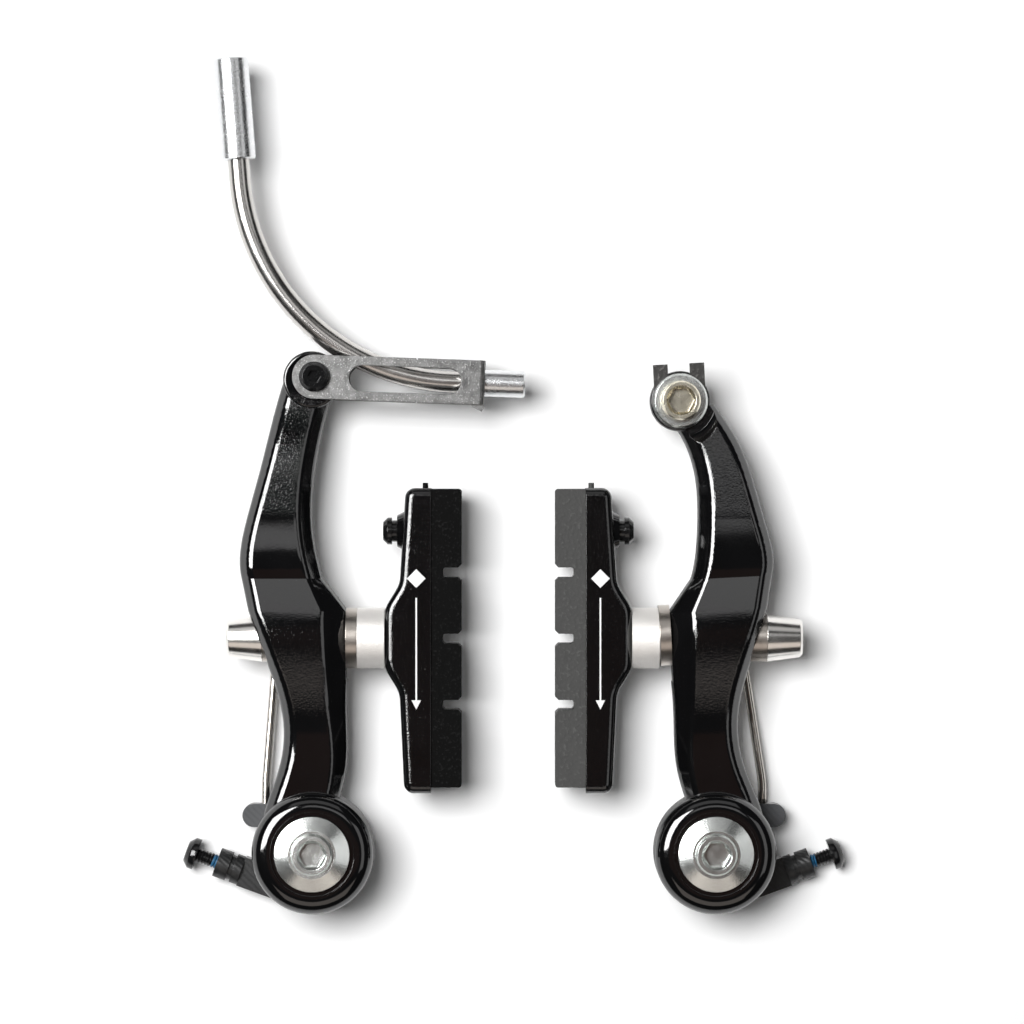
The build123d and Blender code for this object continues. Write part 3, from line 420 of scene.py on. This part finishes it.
def yellow_zinc():
    return Skin("yellow_zinc", dark=(0.72, 0.66, 0.52), light=(0.86, 0.82, 0.7), rough=(0.2, 0.32),
                grain=0.4 * MM, patch=1.5 * MM, depth=0.012 * MM, metallic=1.0).material


def bush_brass():
    return Skin("bush_brass", dark=(0.5, 0.36, 0.16), light=(0.64, 0.48, 0.24), rough=(0.25, 0.4),
                grain=0.4 * MM, patch=3 * MM, depth=0.008 * MM, metallic=1.0).material


def carrier_plastic():
    """Moulded nylon with fine tool lines, black at the screw's boss and grey at the spring's lug."""
    nylon = Skin("carrier_plastic", dark=(0.006, 0.0062, 0.0065), light=(0.017, 0.0175, 0.018),
                 rough=(0.3, 0.5), grain=0.5 * MM, patch=4 * MM, depth=0.02 * MM)
    height = put(nylon.tree, "ShaderNodeSeparateXYZ", Vector=nylon.place).outputs["Z"]
    lug = ramp(nylon.tree, height, *LUG_HEIGHT)
    nylon.set("Base Color", blend_colors(nylon.tree, lug, nylon.fed_by("Base Color"), LUG_GREY))
    lines = put(nylon.tree, "ShaderNodeTexWave", {"wave_type": "BANDS", "bands_direction": "DIAGONAL"},
                Vector=nylon.place, Scale=TOOL_LINE_SCALE, Distortion=TOOL_LINE_WAVER)
    nylon.relief(lines.outputs["Fac"], TOOL_LINE_DEPTH)
    return nylon.material


def black_steel():
    return Skin("black_steel", dark=(0.003, 0.003, 0.0032), light=(0.01, 0.01, 0.0105), rough=(0.1, 0.16),
                grain=0.35 * MM, patch=2 * MM, depth=0.015 * MM).material


def spring_steel():
    return Skin("spring_steel", dark=(0.46, 0.43, 0.39), light=(0.64, 0.61, 0.57), rough=(0.16, 0.26),
                grain=0.3 * MM, patch=4 * MM, depth=0.004 * MM, metallic=1.0).material


def post_washer_steel():
    return Skin("post_washer_steel", dark=(0.42, 0.38, 0.34), light=(0.6, 0.56, 0.52), rough=(0.24, 0.36),
                grain=0.35 * MM, patch=2 * MM, depth=0.008 * MM, metallic=1.0).material


def post_washer_alloy():
    """Blasted alloy, pale and matt."""
    return Skin("post_washer_alloy", dark=(0.84, 0.81, 0.78), light=(0.93, 0.91, 0.88), rough=(0.46, 0.58),
                grain=0.3 * MM, patch=3 * MM, depth=0.06 * MM, metallic=0.6).material


def chromed_nut():
    return Skin("chromed_nut", dark=(0.8, 0.78, 0.75), light=(0.92, 0.9, 0.87), rough=(0.16, 0.26),
                grain=0.5 * MM, patch=3 * MM, depth=0.004 * MM, metallic=1.0).material


def stainless_link():
    """Stamped sheet, tumbled to a mottled grey, with painted glints: bright points of sparkle painted into the
    colour.
    """
    return Skin("stainless_link", dark=(0.05, 0.05, 0.05), light=(0.36, 0.36, 0.355), rough=(0.28, 0.44),
                grain=0.35 * MM, patch=1.6 * MM, depth=0.04 * MM, metallic=1.0,
                speck_and_glint=(0.5, 0.5, 0.49)).material


def polished_tube():
    return Skin("polished_tube", dark=(0.52, 0.5, 0.48), light=(0.68, 0.66, 0.64), rough=(0.18, 0.28),
                grain=0.4 * MM, patch=6 * MM, depth=0.004 * MM, metallic=1.0).material


def bare_alloy():
    """Turned alloy with a fine sparkle."""
    return Skin("bare_alloy", dark=(0.7, 0.71, 0.72), light=(0.9, 0.91, 0.92), rough=(0.2, 0.32),
                grain=0.26 * MM, patch=1.2 * MM, depth=0.035 * MM, metallic=1.0).material


# The light points on this finish are painted glints of sparkle, mixed into the colour.
def black_plate():
    return Skin("black_plate", dark=(0.008, 0.0075, 0.007), light=(0.022, 0.02, 0.018), rough=(0.35, 0.55),
                grain=0.6 * MM, patch=2 * MM, depth=0.07 * MM, speck_and_glint=(0.09, 0.087, 0.082)).material


def white_ink():
    return Skin("white_ink", dark=(0.85, 0.85, 0.85), light=(0.93, 0.93, 0.93), rough=(0.4, 0.5),
                grain=0.3 * MM, patch=2 * MM, depth=0.006 * MM).material


def blue_threadlock():
    return Skin("blue_threadlock", dark=(0.01, 0.07, 0.16), light=(0.02, 0.14, 0.28), rough=(0.3, 0.45),
                grain=0.3 * MM, patch=0.8 * MM, depth=0.03 * MM).material


# Nodes that look different from the rest of their slot
OWN_FINISHES = {"right_brake_pad": bloomed_rubber(), "cable_clamp_bolt": yellow_zinc()}
FINISHES = {
    make.__name__: make()
    for make in (gloss_black_alloy, gloss_black_holder, pad_rubber, zinc_steel, bush_brass,
                 carrier_plastic, black_steel, spring_steel, post_washer_steel, post_washer_alloy,
                 chromed_nut, stainless_link, polished_tube, bare_alloy, black_plate)
}
INK = white_ink()
THREADLOCK = blue_threadlock()


def dress_nodes():
    """Gives every CAD node the finish of its slot in the record, or its own."""
    for part in frame["record"]["subparts"]:
        mesh = frame["nodes"][part["node"]].data
        mesh.materials.clear()
        mesh.materials.append(OWN_FINISHES.get(part["node"], FINISHES[part["material_slot"]]))


# Meshes of added pieces

def add_piece(name, mesh, body):
    piece = bpy.data.objects.new(name, mesh)
    bpy.context.scene.collection.objects.link(piece)
    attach(piece, body)
    return piece


def smooth_by_angle(mesh):
    for face in mesh.polygons:
        face.use_smooth = True
    mesh.set_sharp_from_angle(angle=SMOOTH_ANGLE)


def merged_copy(node):
    """A copy of a CAD node's mesh, and the same mesh with its doubles merged, ready to be cut."""
    mesh = frame["nodes"][node].data.copy()
    work = bmesh.new()
    work.from_mesh(mesh)
    bmesh.ops.remove_doubles(work, verts=work.verts, dist=MERGE_DISTANCE)
    return mesh, work


# Tension screws

def make_thread_tree(material):
    """A cut thread along Z: a round core with a helical ridge, from named sizes."""
    tree = bpy.data.node_groups.new("screw_thread", "GeometryNodeTree")
    for name in ("Root", "Crest", "Pitch", "Length"):
        tree.interface.new_socket(name, in_out="INPUT", socket_type=FLOAT)
    tree.interface.new_socket("Geometry", in_out="OUTPUT", socket_type="NodeSocketGeometry")
    given = tree.nodes.new("NodeGroupInput").outputs
    middle = math_node(tree, "MULTIPLY", given["Length"], 0.5)
    core = put(tree, "GeometryNodeMeshCylinder", Vertices=CORE_SIDES, Radius=given["Root"],
               Depth=given["Length"])
    lift = put(tree, "ShaderNodeCombineXYZ", Z=middle)
    core = put(tree, "GeometryNodeTransform", Geometry=core.outputs["Mesh"],
               Translation=lift.outputs["Vector"])
    height = math_node(tree, "SUBTRACT", given["Crest"], given["Root"])
    helix = put(tree, "GeometryNodeCurveSpiral", Resolution=THREAD_STEPS, Start_Radius=given["Root"],
                End_Radius=given["Root"], Height=given["Length"],
                Rotations=math_node(tree, "DIVIDE", given["Length"], given["Pitch"]))
    upright = put(tree, "GeometryNodeSetCurveNormal", {"mode": "Z_UP"}, Curve=helix.outputs["Curve"])
    ridge = put(tree, "GeometryNodeCurvePrimitiveCircle", Resolution=RIDGE_CORNERS, Radius=height)
    thread = put(tree, "GeometryNodeCurveToMesh", Curve=upright.outputs["Curve"],
                 Profile_Curve=ridge.outputs["Curve"], Fill_Caps=True)
    joined = tree.nodes.new("GeometryNodeJoinGeometry")
    tree.links.new(core.outputs["Geometry"], joined.inputs["Geometry"])
    tree.links.new(thread.outputs["Mesh"], joined.inputs["Geometry"])
    real = put(tree, "GeometryNodeRealizeInstances", Geometry=joined.outputs["Geometry"])
    coated = put(tree, "GeometryNodeSetMaterial", Geometry=real.outputs["Geometry"], Material=material)
    result = tree.nodes.new("NodeGroupOutput")
    tree.links.new(coated.outputs["Geometry"], result.inputs["Geometry"])
    return tree


def grown_mesh(tree, sizes):
    """Runs a geometry tree with these named sizes and returns a plain mesh."""
    holder = bpy.data.objects.new("grow", bpy.data.meshes.new("grow"))
    bpy.context.scene.collection.objects.link(holder)
    modifier = holder.modifiers.new("grow", "NODES")
    modifier.node_group = tree
    for item in tree.interface.items_tree:
        if item.name in sizes:
            modifier[item.identifier] = sizes[item.name]
    depsgraph = bpy.context.evaluated_depsgraph_get()
    mesh = bpy.data.meshes.new_from_object(holder.evaluated_get(depsgraph))
    holder.modifiers.remove(modifier)
    bpy.data.objects.remove(holder)
    return mesh


class ScrewLine:
    """A screw's own line, read from its CAD node: from the head's face at 0 towards its tip."""

    def __init__(self, node, inward):
        points = [vertex.co for vertex in frame["nodes"][node].data.vertices]
        self.inward = Vector(inward).normalized()
        reaches = [point.dot(self.inward) for point in points]
        self.face = min(reaches)
        self.length = max(reaches) - self.face
        flat = [point - self.inward * reach for point, reach in zip(points, reaches)]
        self.middle = Vector([(min(values) + max(values)) / 2 for values in zip(*flat)])

    def at(self, reach):
        return self.middle + self.inward * (self.face + reach)

    def set_from(self, reach):
        """Moves a mesh made along +Z from 0 to this line, starting at reach."""
        turn = self.inward.to_track_quat("Z", "Y").to_matrix().to_4x4()
        return Matrix.Translation(self.at(reach)) @ turn


def head_of(node, line, head):
    """A copy of a screw's CAD mesh, cut back to its head."""
    mesh, work = merged_copy(node)
    limit = line.face + head + HEAD_MARGIN
    shank = [face for face in work.faces if face.calc_center_median().dot(line.inward) > limit]
    bmesh.ops.delete(work, geom=shank, context="FACES")
    work.to_mesh(mesh)
    work.free()
    return mesh


def joined_mesh(name, first, second, place):
    work = bmesh.new()
    work.from_mesh(first)
    second.transform(place)
    work.from_mesh(second)
    mesh = bpy.data.meshes.new(name)
    work.to_mesh(mesh)
    work.free()
    smooth_by_angle(mesh)
    return mesh


def threaded_screw(node, body, inward, head, sizes, tree, finish):
    """A screw with its CAD head and a cut thread in place of its plain shank."""
    line = ScrewLine(node, inward)
    length = line.length - head
    thread = grown_mesh(tree, {**sizes, "Length": length})
    mesh = joined_mesh(node + "_threaded", head_of(node, line, head), thread, line.set_from(head))
    mesh.materials.clear()
    for material in (finish, THREADLOCK):
        mesh.materials.append(material)
    lock_start, lock_end = THREADLOCK_REACH
    for face in mesh.polygons:
        reach = face.center.dot(line.inward) - line.face
        face.material_index = int(lock_start < reach < lock_end)
    piece = add_piece(node + "_threaded", mesh, body)
    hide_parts(node)


def make_screws():
    tree = make_thread_tree(FINISHES["black_steel"])
    axes = {joint["name"]: joint["axis"] for joint in frame["joints"]}
    for side in SIDES:
        threaded_screw(f"{side}_tension_screw", f"{side}_tension_screw_body",
                       axes[f"{side}_tension_screw_travel"], TENSION_HEAD,
                       {"Root": TENSION_ROOT, "Crest": TENSION_CREST, "Pitch": TENSION_PITCH},
                       tree, FINISHES["black_steel"])


# Return springs

def bending_spring(side):
    """A return spring's wire, copied and cut into short lengths along its leg, from the carrier to the arm."""
    node = f"{side}_return_spring"
    mesh, work = merged_copy(node)
    for cut in range(SPRING_CUTS + 1):
        height = SPRING_BEND_START + (SPRING_BEND_END - SPRING_BEND_START) * cut / SPRING_CUTS
        everything = work.verts[:] + work.edges[:] + work.faces[:]
        bmesh.ops.bisect_plane(work, geom=everything, plane_co=(0, 0, height), plane_no=(0, 0, 1))
    work.to_mesh(mesh)
    work.free()
    smooth_by_angle(mesh)
    wire = bpy.data.objects.new(node + "_wire", mesh)
    bpy.context.scene.collection.objects.link(wire)
    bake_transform(wire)
    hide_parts(node)


# Print marks

def flat_mark(work, outline, front):
    """Adds a thin printed shape, drawn as (x, z) points, standing just proud of the plane y = front."""
    corners = [work.verts.new((x, front + MARK_SINK, z)) for x, z in outline]
    face = work.faces.new(corners)
    raised = bmesh.ops.extrude_face_region(work, geom=[face])
    moved = [item for item in raised["geom"] if isinstance(item, bmesh.types.BMVert)]
    bmesh.ops.translate(work, vec=(0, -MARK_THICKNESS - MARK_SINK, 0), verts=moved)


def holder_marks(side):
    low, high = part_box(f"{side}_pad_holder")
    x = high.x - MARK_INSET if side == "left" else low.x + MARK_INSET
    half = LINE_WIDTH / 2
    work = bmesh.new()
    flat_mark(work, [(x, DIAMOND_HEIGHT + DIAMOND_HALF), (x + DIAMOND_HALF, DIAMOND_HEIGHT),
                     (x, DIAMOND_HEIGHT - DIAMOND_HALF), (x - DIAMOND_HALF, DIAMOND_HEIGHT)], low.y)
    flat_mark(work, [(x - half, LINE_BOTTOM), (x - half, LINE_TOP), (x + half, LINE_TOP),
                     (x + half, LINE_BOTTOM)], low.y)
    flat_mark(work, [(x, ARROW_TIP), (x - ARROW_HALF, LINE_BOTTOM), (x + ARROW_HALF, LINE_BOTTOM)], low.y)
    bmesh.ops.recalc_face_normals(work, faces=work.faces)
    mesh = bpy.data.meshes.new(f"{side}_holder_marks")
    work.to_mesh(mesh)
    work.free()
    mesh.materials.append(INK)
    add_piece(f"{side}_holder_marks", mesh, f"{side}_arm_body")


# Studio

def seen_directly(tree):
    """1 for the rays that show a background: camera, glossy and transmission rays."""
    path = tree.nodes.new("ShaderNodeLightPath")
    seen = math_node(tree, "MAXIMUM", path.outputs["Is Camera Ray"], path.outputs["Is Glossy Ray"])
    return math_node(tree, "MAXIMUM", seen, path.outputs["Is Transmission Ray"])


def empty_material(name):
    """A material with only its output, and that output's surface socket."""
    material = bpy.data.materials.new(name)
    material.use_nodes = True
    tree = material.node_tree
    tree.nodes.clear()
    output = tree.nodes.new("ShaderNodeOutputMaterial")
    return material, tree, output.inputs["Surface"]


def white_board_material():
    """White card that shows from its front and lets light through to what is behind it."""
    material, tree, surface = empty_material("white_board")
    back = tree.nodes.new("ShaderNodeNewGeometry").outputs["Backfacing"]
    shown = math_node(tree, "MULTIPLY", seen_directly(tree), math_node(tree, "SUBTRACT", 1.0, back))
    card = put(tree, "ShaderNodeBsdfDiffuse", Color=BOARD_WHITE)
    glow = put(tree, "ShaderNodeEmission", Color=WHITE, Strength=BOARD_GLOW)
    both = tree.nodes.new("ShaderNodeAddShader")
    tree.links.new(card.outputs[0], both.inputs[0])
    tree.links.new(glow.outputs[0], both.inputs[1])
    clear = tree.nodes.new("ShaderNodeBsdfTransparent")
    mix = tree.nodes.new("ShaderNodeMixShader")
    feed(tree, mix.inputs[0], shown)
    tree.links.new(clear.outputs[0], mix.inputs[1])
    tree.links.new(both.outputs[0], mix.inputs[2])
    tree.links.new(mix.outputs[0], surface)
    return material


def glow_material(name, color):
    material, tree, surface = empty_material(name)
    tree.links.new(put(tree, "ShaderNodeEmission", Color=color).outputs[0], surface)
    return material


def stage_sheet(name, corners, faces, material):
    mesh = bpy.data.meshes.new(name)
    mesh.from_pydata(corners, [], faces)
    mesh.materials.append(material)
    sheet = bpy.data.objects.new(name, mesh)
    bpy.context.scene.collection.objects.link(sheet)
    return sheet


def only_in_reflections(sheet):
    sheet.visible_camera = False
    sheet.visible_diffuse = False
    sheet.visible_shadow = False
    sheet.visible_transmission = False


def seen_from_target(azimuth, elevation, distance):
    """A place in this direction from the brake, and the turn that faces -Z from it to the brake."""
    turn = math.radians(azimuth)
    lift = math.radians(elevation)
    away = Vector((math.sin(turn) * math.cos(lift), -math.cos(turn) * math.cos(lift), math.sin(lift)))
    return TARGET + away * distance, (-away).to_track_quat("-Z", "Y")


def build_board():
    half = BOARD_SIZE / 2
    y = cad_high.y + BOARD_GAP
    corners = [(TARGET.x + x * half, y, TARGET.z + z * half) for x, z in SQUARE]
    stage_sheet("white_board", corners, [(0, 1, 2, 3)], white_board_material())


def build_tent():
    """A dark tent on the viewer's side, which only reflections see."""
    corners = [(TARGET.x + x * TENT_HALF, y, TARGET.z + z * TENT_HALF)
               for y in (TENT_FRONT, TENT_OPEN) for x, z in SQUARE]
    sides = [(i, (i + 1) % 4, (i + 1) % 4 + 4, i + 4) for i in range(4)]
    cloth = glow_material("tent_cloth", TENT_CLOTH)
    only_in_reflections(stage_sheet("dark_tent", corners, [(0, 1, 2, 3), *sides], cloth))


def build_card(name, place, color):
    """A glowing card that only reflections see."""
    azimuth, elevation, distance, width, height = place
    centre, turn = seen_from_target(azimuth, elevation, distance)
    corners = [centre + turn @ Vector((x * width / 2, y * height / 2, 0)) for x, y in SQUARE]
    only_in_reflections(stage_sheet(name, corners, [(0, 1, 2, 3)], glow_material(name + "_glow", color)))


def build_world():
    """White where it is seen, and a softer level as light."""
    world = bpy.data.worlds.new("studio")
    world.use_nodes = True
    tree = world.node_tree
    shade = tree.nodes["Background"]
    shade.inputs["Color"].default_value = WHITE
    feed(tree, shade.inputs["Strength"], spread(tree, seen_directly(tree), WORLD_LIGHT, 1.0))
    bpy.context.scene.world = world


def softbox(name, place, power, diffuse=True, glossy=True):
    """An area lamp for matt surfaces, for reflections or for both."""
    azimuth, elevation, distance, width, height = place
    lamp = bpy.data.lights.new(name, "AREA")
    lamp.shape = "RECTANGLE"
    lamp.size = width
    lamp.size_y = height
    lamp.energy = power
    light = bpy.data.objects.new(name, lamp)
    bpy.context.scene.collection.objects.link(light)
    light.location, turn = seen_from_target(azimuth, elevation, distance)
    light.rotation_euler = turn.to_euler()
    light.visible_diffuse = diffuse
    light.visible_glossy = glossy


def build_camera():
    lens = bpy.data.cameras.new("camera")
    lens.sensor_width = SENSOR_WIDTH
    lens.lens = SENSOR_WIDTH * CAMERA_DISTANCE / FRAME_WIDTH
    camera = bpy.data.objects.new("camera", lens)
    bpy.context.scene.collection.objects.link(camera)
    camera.location = (FRAME_CENTRE_X, PAD_PLANE_Y - CAMERA_DISTANCE, FRAME_CENTRE_Z)
    camera.rotation_euler = (math.pi / 2, 0, 0)
    bpy.context.scene.camera = camera


dress_nodes()
make_screws()
for side in SIDES:
    bending_spring(side)
    holder_marks(side)
build_board()
build_tent()
build_card("right_card", RIGHT_CARD, RIGHT_GLOW)
build_card("high_card", HIGH_CARD, HIGH_GLOW)
build_card("low_card", LOW_CARD, LOW_GLOW)
build_card("warm_card", WARM_CARD, WARM_GLOW)
build_world()
softbox("key", KEY_LIGHT, KEY_POWER, diffuse=False)
softbox("shade", SHADE_LIGHT, SHADE_POWER, glossy=False)
softbox("top", TOP_LIGHT, TOP_POWER)
softbox("back", BACK_LIGHT, BACK_POWER)
build_camera()
bpy.context.scene.view_settings.view_transform = "Standard"
